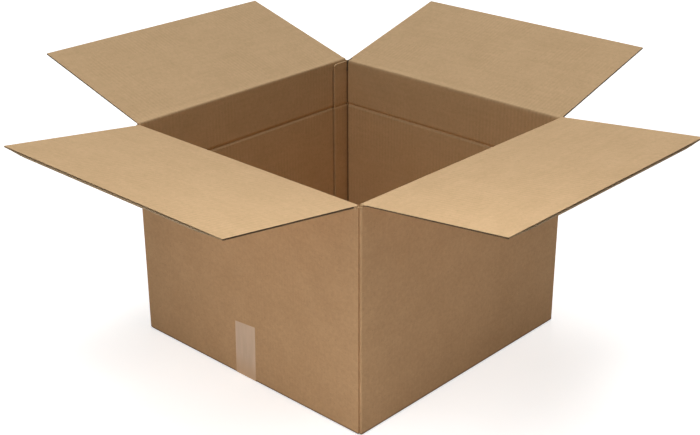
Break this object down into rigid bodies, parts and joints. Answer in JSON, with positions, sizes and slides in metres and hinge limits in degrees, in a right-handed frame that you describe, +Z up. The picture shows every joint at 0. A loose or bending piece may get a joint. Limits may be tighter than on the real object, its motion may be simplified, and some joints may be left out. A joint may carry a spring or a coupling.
{
  "type": "open cardboard box",
  "caption": "Open square carton of double-wall corrugated cardboard with hinged top flaps, a glued corner and a taped bottom, for packing and shipping goods.",
  "frame": {"origin": "on the floor under the middle of the four walls", "axes": "+Z up out of the open top, -Y out of the front wall that carries the tape's slanted end, +X out of the right wall"},
  "size_m": [1.0339, 1.0317, 0.4672],
  "materials": {
    "kraft_board": "matt brown kraft liner",
    "packing_tape": "thin translucent film, low gloss"
  },
  "bodies": {
    "carton": {"carton_body": "kraft_board", "bottom_tape": "packing_tape"},
    "flap_front": {"front_flap": "kraft_board"},
    "flap_right": {"right_flap": "kraft_board"},
    "flap_back": {"back_flap": "kraft_board"},
    "flap_left": {"left_flap": "kraft_board"}
  },
  "joints": [
    {"name": "front_flap_fold", "type": "hinge", "parent": "carton", "child": "flap_front", "pos_m": [0, -0.26115, 0.38545], "axis": [-1, 0, 0], "range_deg": [-98, 172]},
    {"name": "right_flap_fold", "type": "hinge", "parent": "carton", "child": "flap_right", "pos_m": [0.26115, 0, 0.39275], "axis": [0, -1, 0], "range_deg": [-95.6, 174.4]},
    {"name": "back_flap_fold", "type": "hinge", "parent": "carton", "child": "flap_back", "pos_m": [0, 0.26115, 0.38545], "axis": [1, 0, 0], "range_deg": [-105.8, 164.2]},
    {"name": "left_flap_fold", "type": "hinge", "parent": "carton", "child": "flap_left", "pos_m": [-0.26115, 0, 0.39275], "axis": [0, 1, 0], "range_deg": [-105, 165]}
  ]
}
